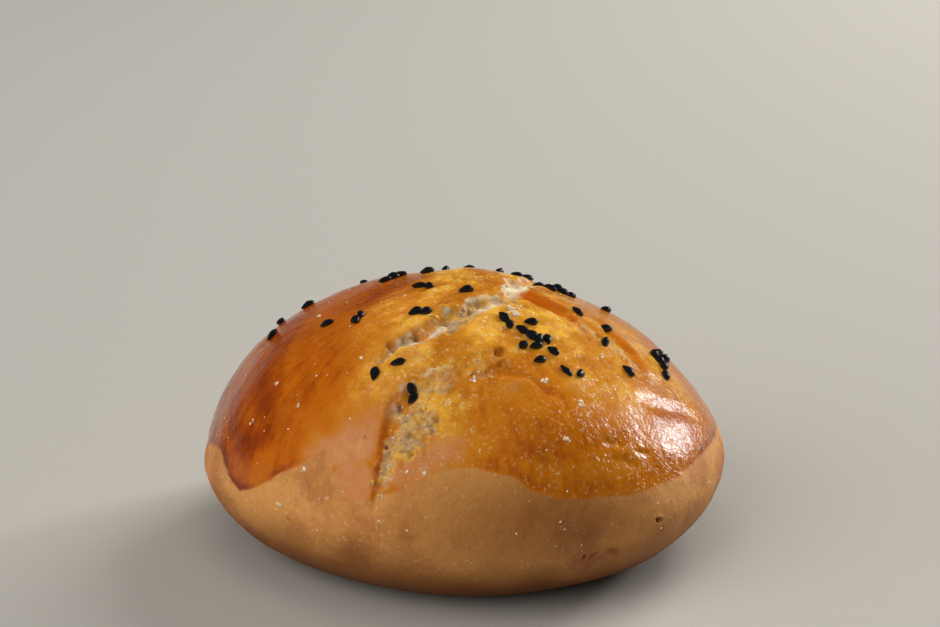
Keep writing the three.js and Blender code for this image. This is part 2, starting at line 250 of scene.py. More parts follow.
# Where the skin is gathered in wrinkles or lumps: height, cell and patch.
ROUGH_PATCHES = (
    (0.16, 2.6, 38, -36, 15, 11, 30, 0.8), (0.10, 4.0, 12, -40, 20, 9, 0, 0.9),
    (0.30, 6.0, 38, -60, 16, 7, 25, 0.8), (0.12, 3.0, -26, -38, 12, 6, 15, 0.8),
    (0.14, 3.2, 14, -16, 18, 14, 0, 0.9), (0.14, 3.6, -4, -6, 12, 8, 36, 0.9),
)
# Fine unevenness of the skin: height, cell and shift of the noise.
SKIN_LAYERS = ((0.11, 5.5, 0), (0.035, 1.5, 9))
# The brush turned about this chart point, so its streaks are arcs around it.
BRUSH_CENTRE = (15.0, -20.0)
# The wash is mottled about this chart point, in blots drawn out along the tears, and it
# gathered in puckers there.
MOTTLE_CENTRE = (9.0, -13.0)
MOTTLE_SLANT = 36.0  # degrees
MOTTLE_CELL = 3.2
MOTTLE_REACH = (17, 29)  # it fades out between these distances
PUCKER_DEPTH = 0.28
# Noise for gathered skin and for brush streaks is taken on a cylinder: its radius, and how
# far along it a millimetre of walk goes.
GATHERED = (44, 0.4)
BRUSHED = (40, 0.3)

# What the shader reads of the crust's finish.
FINISH_MARKS = (
    "wash", "thickness", "sunny", "ruddy", "grain", "crumb", "pale", "pits", "toast", "dark",
    "tray",
)


def chance(index):
    """The same number from 0 to 1 for the same index, as the solid draws it."""
    wave = np.sin(index * 12.9898 + 4.1414) * 43758.5453
    return wave - np.floor(wave)


def smooth_step(low, high, value):
    """0 on low's side, 1 on high's side, and 3t^2 - 2t^3 between them."""
    share = np.clip((value - low) / (high - low), 0, 1)
    return share * share * (3 - 2 * share)


def bell(value):
    """1 at 0, falling away on both sides as exp(-value^2)."""
    return np.exp(-(value**2))


def stacked(*coordinates):
    """Points or vectors, one to a row, from arrays of their coordinates."""
    return np.stack(coordinates, axis=1)


def flat_points(x, y):
    """Chart places as points of a level plane."""
    return stacked(x, y, np.zeros(len(x)))


def unit(vectors):
    """Vectors brought to a length of 1."""
    return vectors / np.linalg.norm(vectors, axis=1, keepdims=True)


def slanted(x, y, degrees):
    """Chart distances along a direction, and to its left."""
    c, s = math.cos(math.radians(degrees)), math.sin(math.radians(degrees))
    return x * c + y * s, y * c - x * s


def unevenness(points, cell):
    """Value noise from -1 to 1: random heights at the corners of cells, eased across."""
    scaled = points / cell
    corner = np.floor(scaled)
    ease = scaled - corner
    ease = ease * ease * (3 - 2 * ease)
    total = np.zeros(len(points))
    for way in np.ndindex(2, 2, 2):
        share = np.prod(np.where(np.array(way) == 1, ease, 1 - ease), axis=1)
        i, j, k = (corner + way).T
        total += share * chance(i + 57 * j + 113 * k)
    return 2 * total - 1


def layered(points, cell, layers):
    """Unevenness summed over layers, each half the cell and half the height of the last."""
    total = np.zeros(len(points))
    for layer in range(layers):
        turned = points @ layer_turn(layer)
        total += unevenness(turned + 71.3 * (layer + 1), cell / 2**layer) / 2**layer
    return total


def layer_turn(layer):
    """A rotation that differs from layer to layer, so that no lattice shows."""
    a, b = 0.7 + 1.3 * layer, 0.4 + 0.9 * layer
    about_z = ((math.cos(a), -math.sin(a), 0), (math.sin(a), math.cos(a), 0), (0, 0, 1))
    about_x = ((1, 0, 0), (0, math.cos(b), -math.sin(b)), (0, math.sin(b), math.cos(b)))
    return np.array(about_z) @ about_x


def holes(points, cell):
    """Distance to the nearest of points strewn one to a cell, as a share of the cell."""
    scaled = points / cell
    corner = np.floor(scaled)
    nearest = np.full(len(points), 9.0)
    for way in np.ndindex(3, 3, 3):
        near = corner + way - 1
        mark = near @ (1.0, 157.0, 113.0)
        spot = near + stacked(chance(mark), chance(mark + 0.37), chance(mark + 0.71))
        nearest = np.minimum(nearest, ((spot - scaled) ** 2).sum(axis=1))
    return np.sqrt(nearest)


def plain_points(bearing, turn):
    """The form with no relief: a superellipse dome over the widest ring and a superellipse
    underside below it, on an outline of the form 1 + a cos 2b - c cos 3b."""
    outline = 1 + OVALITY * np.cos(2 * bearing) - THREE_SIDEDNESS * np.cos(3 * bearing)
    power = 2 / (DOME_POWER - LEFT_FULLNESS * np.cos(bearing))
    quarter = np.clip(turn / WIDEST_TURN, 0, 1) * (math.pi / 2)
    dome_reach = np.sin(quarter) ** power
    dome_rise = np.maximum(np.cos(quarter), 0) ** power
    dome_z = WIDEST_HEIGHT + (HEIGHT - WIDEST_HEIGHT) * dome_rise
    below = np.clip((turn - WIDEST_TURN) / (BASE_TURN - WIDEST_TURN), 0, 1) * (math.pi / 2)
    inward = np.clip((turn - BASE_TURN) / (math.pi - BASE_TURN), 0, 1)
    tuck = np.maximum(np.cos(below), 0) ** (2 / UNDERSIDE_POWER)
    under_reach = (BASE_SHARE + (1 - BASE_SHARE) * tuck) * (1 - inward)
    under_z = WIDEST_HEIGHT * (1 - np.sin(below) ** (2 / UNDERSIDE_POWER))
    above = turn <= WIDEST_TURN
    reach = np.where(above, dome_reach, under_reach)
    z = np.where(above, dome_z, under_z)
    height = z / HEIGHT
    lean = CROWN_LEAN * (height + height * height) / 2
    return stacked(
        WIDTH / 2 * outline * reach * np.cos(bearing) - lean + CENTRING[0],
        DEPTH / 2 * outline * reach * np.sin(bearing) + CENTRING[1],
        z,
    )


def outward(points):
    """Unit normals of an ellipsoid of the roll's proportions."""
    x, y, z = points.T
    rise = z - WIDEST_HEIGHT
    half = np.where(rise > 0, HEIGHT - WIDEST_HEIGHT, WIDEST_HEIGHT)
    return unit(stacked(x / (WIDTH / 2) ** 2, y / (DEPTH / 2) ** 2, rise / half**2))


def smooth_route(corners, steps):
    """A Catmull-Rom curve through the corners, in even steps of its parameter."""
    corners = np.array(corners, dtype=float)
    corners = np.vstack(
        (2 * corners[0] - corners[1], corners, 2 * corners[-1] - corners[-2])
    )
    place = np.linspace(0, len(corners) - 3, steps + 1)
    first = np.minimum(place.astype(int), len(corners) - 4)
    t = (place - first)[:, None]
    p0, p1, p2, p3 = (corners[first + k] for k in range(4))
    return 0.5 * (
        2 * p1
        + (p2 - p0) * t
        + (2 * p0 - 5 * p1 + 4 * p2 - p3) * t**2
        + (3 * p1 - p0 - 3 * p2 + p3) * t**3
    )


def across_route(route, x, y):
    """Signed distance from a route, negative on its left, and the route's own values
    at the nearest point."""
    nearest = np.full(len(x), np.inf)
    across = np.zeros(len(x))
    values = np.zeros((len(x), route.shape[1] - 2))
    for start, end in zip(route[:-1], route[1:]):
        step = end[:2] - start[:2]
        from_x, from_y = x - start[0], y - start[1]
        share = np.clip((from_x * step[0] + from_y * step[1]) / (step @ step), 0, 1)
        distance = np.hypot(from_x - share * step[0], from_y - share * step[1])
        side = np.sign(from_x * step[1] - from_y * step[0])
        closer = distance < nearest
        nearest = np.where(closer, distance, nearest)
        across = np.where(closer, side * distance, across)
        mixed = start[2:] + share[:, None] * (end[2:] - start[2:])
        values = np.where(closer[:, None], mixed, values)
    return across, values


def tear_marks(x, y, points):
    """Relief and finish of every tear at chart places.

    Across a tear the crust drops from a lip at its left edge to a craggy floor, which
    climbs again to its right edge and a lower lip; the left side stands proud. Rubble lies
    beside some tears. Returns the relief in millimetres, and the marks of crumb, of its
    pale places with a painted highlight along the lips, of painted shade in its pits and
    hollows, and of toasted edges.
    """
    relief, crumb, toast, pits, pale = np.zeros((5, len(x)))
    flat = flat_points(x, y)
    rag_x = layered(flat, RAG_CELL, 3)
    rag_y = layered(flat + 19.0, RAG_CELL, 3)
    crag = layered(points + 5.0, CRAG_CELL, 2)
    grit = layered(points + 11.0, GRIT_CELL, 2)
    broken = smooth_step(-0.7, 0.1, layered(flat + 47.0, BREAK_CELL, 2))
    coarse = unevenness(points, LUMP_CELL)
    pit = 0.7 * smooth_step(0.3, 0.1, holes(points, PIT_CELLS[0]))
    pit = np.maximum(pit, smooth_step(0.26, 0.12, holes(points + 7.0, PIT_CELLS[1])))
    for tear in TEARS.values():
        route = smooth_route(tear["route"], STEPS_PER_TEAR)
        rag = tear["rag"]
        across, values = across_route(route, x + rag * rag_x, y + rag * rag_y)
        half, depth, shows, toasted = np.maximum(values.T, 0)
        depth = depth * (1 + 0.25 * coarse)
        from_left, from_right = across + half, across - half
        # a toasted edge stands, an untoasted one has crumbled to a slope
        wide = tear["wall"] + tear["slump"] * (1 - toasted)
        wall = smooth_step(-0.4 * wide, 0.6 * wide, from_left)
        inside = wall * (1 - smooth_step(tear["shelf"] * half, half + 0.05, across))
        lips = bell(from_left / LIP_REACH + 0.5) + 0.5 * bell(from_right / LIP_REACH - 0.5)
        left_side = (1 - wall) * np.exp(from_left / FLAP_REACH)
        torn = smooth_step(-0.8, 0.3, from_left + 0.5 * crag)
        torn = torn * (1 - smooth_step(-1.2, 1.2, from_right + 1.3 * crag))
        torn *= smooth_step(0, 0.5, depth)
        shows = shows * (0.3 + 0.7 * broken)
        relief += depth * (
            tear["lip"] * lips * (1 + 0.6 * crag)
            + tear["left_rise"] * left_side
            - inside
            + LUMP_SHARE * coarse * inside
        )
        rough = CRAG_HEIGHT * crag + GRIT_HEIGHT * grit - PIT_DEPTH * pit
        relief += rough * torn * (0.3 + 0.7 * shows)
        crumb = np.maximum(crumb, torn * shows)
        # painted shade in the hollows between crags and in the pits
        crag_shade = 0.5 * smooth_step(0.1, -0.7, crag)
        pits = np.maximum(pits, (pit + crag_shade) * torn)
        at_wall = bell((from_left - 0.15) / (0.4 * tear["wall"] + 0.18))
        browned = smooth_step(0, 0.8, depth) * np.clip(toasted * at_wall, 0, 1)
        toast = np.maximum(toast, browned)
        # painted highlight along an untoasted edge: a thin pale line of crumb
        lip_highlight = bell(from_left / 0.35) * smooth_step(0.3, 0.9, depth)
        lip_highlight *= (1 - toasted) * smooth_step(-0.5, 0.4, crag)
        crumb = np.maximum(crumb, 0.7 * lip_highlight)
        pale = np.maximum(pale, 0.7 * lip_highlight)
    ragged = x + RUBBLE_RAG * rag_x, y + RUBBLE_RAG * rag_y
    for strength, *patch in RUBBLE:
        rubble = strength * patch_strength(*ragged, *patch)
        relief += rubble * (0.2 * coarse + 0.2 * crag + 0.1 * grit - 0.4 * pit * (1 - crumb))
        crumb = np.maximum(crumb, rubble * (0.36 + 0.25 * crag))
        # painted shade in the rubble's pits
        pits = np.maximum(pits, rubble * pit * 0.7)
    pale = np.maximum(pale, strongest(PALE_CRUMB, x, y))
    marks = {"crumb": crumb, "pale": pale, "pits": pits, "toast": toast}
    return relief, {name: np.clip(mark, 0, 1) for name, mark in marks.items()}


def small_marks(x, y):
    """Relief of the single holes and creases at chart places, and the painted shade in them."""
    relief, dark = np.zeros((2, len(x)))
    rag = 0.3 * layered(flat_points(x, y) + 3.0, 1.6, 2)
    for hole_x, hole_y, radius, depth, baked in HOLES:
        reach = np.hypot(x - hole_x, y - hole_y) / radius + rag
        inside = 1 - smooth_step(0.5, 1.05, reach)
        # each hole has a low rim
        relief += depth * (0.25 * bell((reach - 1.4) / 0.45))
        relief -= depth * inside
        # painted shade inside the hole
        dark = np.maximum(dark, baked * inside)
    for depth, half, corners in CREASES:
        # a crease rises to its full depth over a fifth of its length, at either end
        ends = np.linspace(0, 5, CREASE_STEPS + 1)
        ends = np.minimum(np.minimum(ends, ends[::-1]), 1)
        route = np.column_stack((smooth_route(corners, CREASE_STEPS), ends))
        across, taper = across_route(route, x + 1.2 * rag, y + rag)
        groove = bell(across / half) * taper[:, 0]
        relief -= depth * groove
        if depth > DARK_CREASE_DEPTH:
            # painted shade along a deep crease
            dark = np.maximum(dark, 0.7 * groove)
    return relief, dark


def patch_strength(x, y, centre_x, centre_y, long, short, degrees, softness):
    """1 inside an ellipse on the chart, fading to 0 outside it."""
    along, beside = slanted(x - centre_x, y - centre_y, degrees)
    reach = np.hypot(along / long, beside / short)
    return 1 - smooth_step(1 - softness, 1 + softness, reach)


def strongest(patches, x, y):
    """The greatest strength of any of the patches at chart places."""
    most = np.zeros(len(x))
    for strength, *patch in patches:
        most = np.maximum(most, strength * patch_strength(x, y, *patch))
    return most


def wound(bearing, walk, radius, share):
    """Chart places on a cylinder, so that noise at them is drawn out down the slope."""
    return stacked(radius * np.cos(bearing), radius * np.sin(bearing), share * walk)


def crust_surface(x, y):
    """Points of the crust at chart places, in millimetres, and the finish there.

    point = form(bearing, turn) + relief * outward. The relief is the sum of broad
    swellings, tears, dough unevenness, and fine wrinkles of the baked skin.
    """
    walk = np.hypot(x, y)
    bearing = np.arctan2(y, x)
    turn = walk / WALK_TO_WIDEST * WIDEST_TURN
    points = plain_points(bearing, turn)
    fade = 1 - smooth_step(WIDEST_TURN, BASE_TURN, turn)
    relief = DOUGH_SWELL * unevenness(points, DOUGH_CELL)
    for centre_x, centre_y, radius, rise in SWELLINGS:
        relief += rise * bell(np.hypot(x - centre_x, y - centre_y) / radius)
    torn, torn_marks = tear_marks(x, y, points)
    marked, dark = small_marks(x, y)
    wash, thickness, sunny = egg_wash(x, y, walk, bearing)
    skin = sum(height * layered(points + shift, cell, 2) for height, cell, shift in SKIN_LAYERS)
    mottle, near_crown = crown_mottle(x, y)
    skin -= PUCKER_DEPTH * mottle * near_crown
    gathered = wound(bearing, walk, *GATHERED)
    for strength, cell, *patch in ROUGH_PATCHES:
        skin += strength * patch_strength(x, y, *patch) * layered(gathered, cell, 2)
    relief += torn + marked + skin * (1 - torn_marks["crumb"])
    points = points + outward(points) * (relief * fade)[:, None]
    points[:, 2] = np.maximum(points[:, 2], rest_height(points))
    towards_left = smooth_step(-2, -24, x + 5 * unevenness(points, 12))
    towards_right = smooth_step(-30, 0, x + 4 * unevenness(points, 9))
    # darker towards the base: partly browned by the tray, partly painted shade of the underside
    towards_base = smooth_step(64, 86, walk + 3 * unevenness(points, 7))
    finish = {
        "wash": wash,
        "thickness": thickness,
        **torn_marks,
        "dark": dark,
        "sunny": sunny,
        # where glints are painted on the blisters: most on the lit right side and on the pale
        # glaze
        "grain": towards_right * (0.3 + 0.7 * sunny),
        "ruddy": towards_left * smooth_step(0.2, 0.5, thickness),
        "tray": np.maximum(towards_base, strongest(BROWNED, x, y)),
    }
    return points, finish


def rest_height(points):
    """Height of the underside's lowest reach: 0 over the flat spot, and lifting round it."""
    apothem = REST_RADIUS * math.cos(math.pi / REST_CORNERS)
    lift = np.zeros(len(points))
    for side in range(REST_CORNERS):
        angle = (side + 0.5) * 2 * math.pi / REST_CORNERS
        reach = points[:, 0] * math.cos(angle) + points[:, 1] * math.sin(angle)
        lift = np.maximum(lift, (reach - apothem) * REST_LIFT)
    return lift / math.cos(math.pi / REST_CORNERS)


def crown_mottle(x, y):
    """Unevenness of the wash about the crown, drawn out along the tears, and how near
    the crown a place is."""
    along, beside = slanted(x, y, MOTTLE_SLANT)
    mottle = layered(flat_points(along / 2, beside) + 53.0, MOTTLE_CELL, 3)
    distance = np.hypot(x - MOTTLE_CENTRE[0], y - MOTTLE_CENTRE[1])
    return mottle, 1 - smooth_step(*MOTTLE_REACH, distance)


def egg_wash(x, y, walk, bearing):
    """Where the egg wash lies, 0 or 1 with a soft edge, how thick it lies, and where it
    is pale gold, partly baked so and partly painted light and sheen."""
    degrees, edges = np.array(WASH_EDGE, dtype=float).T
    edge = np.interp(np.degrees(bearing) % 360, degrees, edges, period=360)
    flat = flat_points(x, y)
    inside = edge - walk + 0.35 * layered(flat, 2.6, 2)
    wash = smooth_step(-0.45, 0.45, inside)
    from_x, from_y = x - BRUSH_CENTRE[0], y - BRUSH_CENTRE[1]
    radius, angle = np.hypot(from_x, from_y), np.arctan2(from_y, from_x)
    arcs = stacked(radius, 5 * np.cos(angle), 5 * np.sin(angle))
    streaks = 0.6 * layered(arcs, 2.2, 2) + layered(arcs, 6.5, 2)
    streaks = smooth_step(4, 18, radius) * streaks
    thickness = 0.56 + 0.07 * streaks + 0.05 * layered(flat, 15, 3)
    # thicker in a bead along its edge, and towards the foot and the left
    thickness += 0.06 * bell(inside - 1.0)
    thickness += 0.06 * smooth_step(20, 50, walk) + 0.08 * smooth_step(-14, -34, x)
    warped_x = x + 1.4 * layered(flat, 7, 3)
    warped_y = y + 1.4 * layered(flat + 31, 7, 3)
    for dark, half, corners in DARK_STROKES:
        route = smooth_route(corners, 6 * len(corners))
        across, _ = across_route(route, warped_x, warped_y)
        stroke = 1 - smooth_step(0, 2 * half, np.abs(across))
        thickness += dark * stroke * (1 + 0.35 * streaks)
    for level, *patch in THIN_PATCHES:
        thinned = level + 0.09 * streaks - thickness
        thickness += thinned * patch_strength(warped_x, warped_y, *patch)
    mottle, near_crown = crown_mottle(x, y)
    thickness += (0.25 * mottle - 0.12) * near_crown
    sunny = strongest(PALE_GLAZE, warped_x, warped_y)
    sunny *= 1 - 0.3 * np.clip(streaks, -1, 1)
    sunny *= np.maximum(1 - near_crown * (0.05 + 1.7 * mottle), 0.3)
    return wash, np.clip(thickness, 0, 1.2), np.clip(sunny, 0, 1)


def linear(hex_colour):
    """An sRGB hex colour as the linear values that a shader takes."""
    channels = [int(hex_colour[i : i + 2], 16) / 255 for i in (1, 3, 5)]
    return tuple(
        c / 12.92 if c <= 0.04045 else ((c + 0.055) / 1.055) ** 2.4 for c in channels
    )


def colour(name, default, description):
    """A colour setting, with its default as an sRGB hex colour."""
    settings = {"name": name, "description": description, "default": linear(default)}
    return FloatVectorProperty(**settings, subtype="COLOR", size=3, min=0, max=1)


def length(name, millimetres, description):
    """A length setting, in metres as Blender keeps it."""
    settings = {"name": name, "description": description, "default": millimetres * MM}
    return FloatProperty(**settings, unit="LENGTH", subtype="DISTANCE", precision=5, min=0)


def how_many(name, default, description):
    """A setting that counts things."""
    return IntProperty(name=name, description=description, default=default, min=0)


class CrustSettings(bpy.types.PropertyGroup):
    bare: colour("Bare dough", "#D2934F", "Baked dough that no egg wash reached")
    bare_dark: colour("Browned dough", "#AE6C3A", "The darker blotches of bare dough")
    thin: colour("Thin wash", "#C8804E", "Egg wash where the brush was nearly dry")
    honey: colour("Honey", "#C67A18", "Egg wash that lies a little thin")
    # laid on as the pale glaze, which is partly painted light and sheen
    pale_gold: colour("Pale gold", "#F0B03A", "Egg wash that baked light")
    gold: colour("Gold", "#C06E10", "Egg wash of the usual thickness")
    amber: colour("Amber", "#A04C0A", "Egg wash that baked dark")
    mahogany: colour("Mahogany", "#7A3810", "Egg wash brushed on twice")
    # also stands for painted shade of the underside and the front of the belly
    tray: colour("Tray brown", "#744012", "Dough browned by the hot tray")
    # darker than the crumb's own colour: painted shade, for the floor of the front tear
    crumb: colour("Crumb", "#B9956A", "Freshly torn crumb")
    crumb_light: colour("Light crumb", "#F3E4C2", "Dry edges and threads of the crumb")
    crumb_shade: colour("Crumb shade", "#7E5426", "Crumb deep in the pits")
    toast: colour("Toasted edge", "#D0680E", "Thin edges of a tear, toasted")
    # flecks of the wash: partly blistered film, partly painted glints
    fleck: colour("Pale fleck", "#FFE0A0", "Blistered flecks of the baked film")


class SeedSettings(bpy.types.PropertyGroup):
    seed_length: length("Seed length", 3.05, "Length of a nigella seed")
    seed_width: length("Seed width", 1.72, "Width of a nigella seed")
    husk: colour("Seed husk", "#08090A", "Dull black husk of the seeds")


class CrumbSettings(bpy.types.PropertyGroup):
    crumbs: how_many("Crumbs", 45, "Loose crumbs along the tears")
    flecks: how_many("Flour flecks", 330, "Flecks of flour on the crust")
    crumb_size: length("Crumb size", 0.8, "Width of a large crumb")
    fleck_size: length("Fleck size", 0.26, "Width of a flour fleck")


class StageSettings(bpy.types.PropertyGroup):
    floor: colour("Floor", "#B3AEA5", "Plain pale paper under the roll")
    focal_length: FloatProperty(
        name="Focal length",
        description="Lens of the camera, in millimetres",
        default=85,
        min=10,
    )


def add(tree, kind, settings=None, inputs=None):
    """Adds a node. Settings are its own properties, or "stops" for a colour ramp."""
    node = tree.nodes.new(kind)
    for name, value in (settings or {}).items():
        if name == "stops":
            elements = node.color_ramp.elements
            while len(elements) < len(value):
                elements.new(0.5)
            for element, (place, shade) in zip(elements, value):
                element.position = place
                element.color = (*shade, 1)
        else:
            setattr(node, name, value)
    fill(tree, node, inputs or {})
    return node


def fill(tree, node, inputs):
    """Sets each input of a node to a constant, or links it to an output socket."""
    for name, value in inputs.items():
        socket = node.inputs[name]
        if isinstance(value, bpy.types.NodeSocket):
            tree.links.new(value, socket)
        elif socket.type == "RGBA" and len(value) == 3:
            socket.default_value = (*value, 1)
        else:
            socket.default_value = value


def per_mm(millimetres):
    """Texture scale, on places in metres, for features of a real size."""
    return 1 / (millimetres * MM)


def noise(tree, place, millimetres, detail, roughness=0.5):
    """Noise with features of a real size."""
    inputs = {"Vector": place, "Scale": per_mm(millimetres), "Detail": detail}
    inputs["Roughness"] = roughness
    return add(tree, "ShaderNodeTexNoise", inputs=inputs).outputs["Fac"]


def remap(tree, value, low, high, start=0.0, end=1.0):
    """A value from low to high brought to one from start to end, and kept there."""
    inputs = {"Value": value, "From Min": low, "From Max": high, "To Min": start, "To Max": end}
    return add(tree, "ShaderNodeMapRange", inputs=inputs).outputs[0]


def ramp(tree, value, *stops):
    """The colour of a value, from stops of a place and its colour."""
    return add(tree, "ShaderNodeValToRGB", {"stops": stops}, {"Fac": value}).outputs["Color"]


def calculate(tree, operation, *values, clamp=False):
    """The result of a sum on values, such as MULTIPLY."""
    settings = {"operation": operation, "use_clamp": clamp}
    return add(tree, "ShaderNodeMath", settings, dict(enumerate(values))).outputs[0]


def cover(tree, share, under, over, blend="MIX"):
    """One colour laid over another where share is 1."""
    settings = {"data_type": "RGBA", "blend_type": blend}
    return add(tree, "ShaderNodeMix", settings, {0: share, 6: under, 7: over}).outputs[2]


def blend_numbers(tree, share, first, second):
    """The first number where share is 0, and the second where it is 1."""
    settings = {"data_type": "FLOAT"}
    return add(tree, "ShaderNodeMix", settings, {0: share, 2: first, 3: second}).outputs[0]


def bump(tree, strength, millimetres, height, normal=None, invert=False):
    """A normal tilted by a height field so many millimetres tall, on top of another's."""
    inputs = {"Strength": strength, "Distance": millimetres * MM, "Height": height}
    if normal is not None:
        inputs["Normal"] = normal
    return add(tree, "ShaderNodeBump", {"invert": invert}, inputs).outputs["Normal"]


def new_material(name):
    """A node material, its tree and its shader."""
    material = bpy.data.materials.new(name)
    material.use_nodes = True
    tree = material.node_tree
    tree.nodes.clear()
    shader = add(tree, "ShaderNodeBsdfPrincipled")
    add(tree, "ShaderNodeOutputMaterial", inputs={"Surface": shader.outputs[0]})
    return material, tree, shader


def object_places(tree):
    """Places on a piece, in metres."""
    return add(tree, "ShaderNodeTexCoord").outputs["Object"]


def attribute(tree, name):
    """The values of one of the piece's layers."""
    return add(tree, "ShaderNodeAttribute", {"attribute_name": name}).outputs


def crust_material(s):
    """Egg-washed white bread crust.

    The wash bakes to a glossy, finely wrinkled film from gold to mahogany as it lies
    thicker; bare dough stays matt and tan; torn crumb is pale, rough and toasted at its
    edges.
    """
    material, tree, shader = new_material("egg_washed_bread_crust")
    place = object_places(tree)
    brushed = attribute(tree, "brushed")["Vector"]
    wash, thickness, sunny, ruddy, grain, crumbly, pale, pits, toast, dark, tray = (
        attribute(tree, name)["Fac"] for name in FINISH_MARKS
    )
    speckle = noise(tree, place, 1.3, 3, 0.7)

    blotch = noise(tree, place, 14, 4, 0.6)
    dough = ramp(tree, blotch, (0.3, s.bare_dark), (0.5, s.bare), (0.8, s.bare))
    spots = (0.32, (0.6, 0.5, 0.42)), (0.46, (0.94, 0.92, 0.9)), (0.66, (1, 1, 1))
    dough = cover(tree, 0.35, dough, ramp(tree, speckle, *spots), "MULTIPLY")
    # pale flecks, from noise of 0.8 mm: flour in the dough's skin, and in the wash blisters,
    # their pale colour partly a painted glint
    freckle = noise(tree, place, 0.8, 2, 0.6)
    dough = cover(tree, remap(tree, freckle, 0.62, 0.72, 0, 0.3), dough, s.crumb_light)
    # browning by the tray and painted shade of the underside, in one colour
    dough = cover(tree, tray, dough, s.tray)

    # the wash's thickness, stirred by fine streaks and small speckle
    streak = noise(tree, brushed, 1.6, 3, 0.6)
    stirred = calculate(tree, "MULTIPLY_ADD", streak, 0.5, thickness)
    stirred = calculate(tree, "MULTIPLY_ADD", speckle, 0.3, stirred)
    stirred = calculate(tree, "SUBTRACT", stirred, 0.4)
    wash_colours = (
        (0.0, s.bare), (0.14, s.thin), (0.4, s.honey), (0.58, s.gold), (0.8, s.amber),
        (1.0, s.mahogany),
    )
    glaze = ramp(tree, stirred, *wash_colours)
    # the pale gold, partly painted light, lies in small blots, 2.6 mm across
    blot = remap(tree, noise(tree, place, 2.6, 4, 0.65), 0.4, 0.6, 0.35, 1.15)
    sunny = calculate(tree, "MULTIPLY", sunny, blot, clamp=True)
    glaze = cover(tree, sunny, glaze, s.pale_gold)
    # the left half baked redder than the rest
    glaze = cover(tree, ruddy, glaze, (0.95, 0.76, 0.7), "MULTIPLY")
    # the blisters lie in drifts 5 mm apart; their pale colour is partly painted glint, most on
    # the lit right side
    drift = remap(tree, noise(tree, place, 5, 2), 0.35, 0.6, 0.15)
    fleck = calculate(tree, "MULTIPLY", grain, remap(tree, freckle, 0.57, 0.65))
    fleck = calculate(tree, "MULTIPLY", fleck, drift)
    glaze = cover(tree, calculate(tree, "MULTIPLY", fleck, 0.8), glaze, s.fleck)
    crust = cover(tree, wash, dough, glaze)

    crumb_colours = (
        (0.35, s.crumb_shade), (0.47, s.crumb), (0.58, s.crumb), (0.72, s.crumb_light),
    )
    crumb = ramp(tree, noise(tree, place, 0.9, 5, 0.65), *crumb_colours)
    golden = remap(tree, noise(tree, place, 3.4, 3, 0.7), 0.45, 0.62, 0, 0.75)
    crumb = cover(tree, golden, crumb, s.pale_gold)
    # pale places: dry or dusted crumb, painted light on the crown tear and a painted highlight
    # along the lips
    crumb = cover(tree, pale, crumb, s.crumb_light)
    # painted shade in the crumb's pits and hollows
    crumb = cover(tree, calculate(tree, "MULTIPLY", pits, 0.6), crumb, s.crumb_shade)
    # crumb and crust meet in a ragged line, not a blend
    ragged = calculate(tree, "MULTIPLY_ADD", speckle, 0.7, crumbly)
    torn = remap(tree, ragged, 0.65, 1.0)
    body = cover(tree, torn, crust, crumb)
    body = cover(tree, toast, body, s.toast)
    # painted shade in the holes and deep creases
    body = cover(tree, dark, body, s.mahogany)

    # the film's wrinkles are 1 mm across, the dough's pores and the crumb's grain 0.7 mm
    film = bump(tree, wash, 0.1, noise(tree, brushed, 1.0, 3, 0.6))
    blistered = bump(tree, wash, 0.12, fleck, film)
    skin = bump(tree, 1.0, 0.11, noise(tree, place, 0.7, 3, 0.6), blistered)

    # glossy where the wash lies, matt on bare dough and crumb
    gloss = remap(tree, thickness, 0.1, 0.4, 0.4, 0.12)
    rough = blend_numbers(tree, torn, blend_numbers(tree, wash, 0.62, gloss), 0.85)
    look = {"Base Color": body, "Normal": skin, "Roughness": rough, "IOR": 1.45}
    fill(tree, shader, {**look, "Specular IOR Level": 0.3})
    return material


def seed_material(s):
    """Nigella seed husk: dull blue-black, netted with fine ridges."""
    material, tree, shader = new_material("nigella_seed_husk")
    settings = {"feature": "DISTANCE_TO_EDGE"}
    inputs = {"Vector": object_places(tree), "Scale": per_mm(0.32)}
    net = add(tree, "ShaderNodeTexVoronoi", settings, inputs).outputs["Distance"]
    tone = ramp(tree, net, (0.0, linear("#15171C")), (0.3, s.husk))
    ridges = bump(tree, 0.5, 0.06, net, invert=True)
    look = {"Base Color": tone, "Normal": ridges, "Roughness": 0.34, "IOR": 1.48}
    fill(tree, shader, {**look, "Specular IOR Level": 0.45})
    return material


def crumb_material(s):
    """Dry bread crumb: cream, toasted in patches, with no gloss."""
    material, tree, shader = new_material("dry_bread_crumb")
    grain = noise(tree, object_places(tree), 1.4, 3, 0.6)
    tone = ramp(tree, grain, (0.4, s.pale_gold), (0.5, s.crumb), (0.62, s.crumb_light))
    fill(tree, shader, {"Base Color": tone, "Roughness": 0.8})
    return material


def flour_material():
    """Wheat flour and a trace of salt: white, with no gloss."""
    material, tree, shader = new_material("wheat_flour")
    grain = noise(tree, object_places(tree), 0.7, 2)
    tone = ramp(tree, grain, (0.35, linear("#D2B485")), (0.55, linear("#EEDFC2")))
    fill(tree, shader, {"Base Color": tone, "Roughness": 0.7})
    return material


def put_in_scene(name, data, place=(0, 0, 0), facing=None):
    """An object with its data at a place, its own -Z turned along the facing vector."""
    thing = bpy.data.objects.new(name, data)
    thing.location = place
    if facing is not None:
        thing.rotation_euler = facing.to_track_quat("-Z", "Y").to_euler()
    bpy.context.scene.collection.objects.link(thing)
    return thing


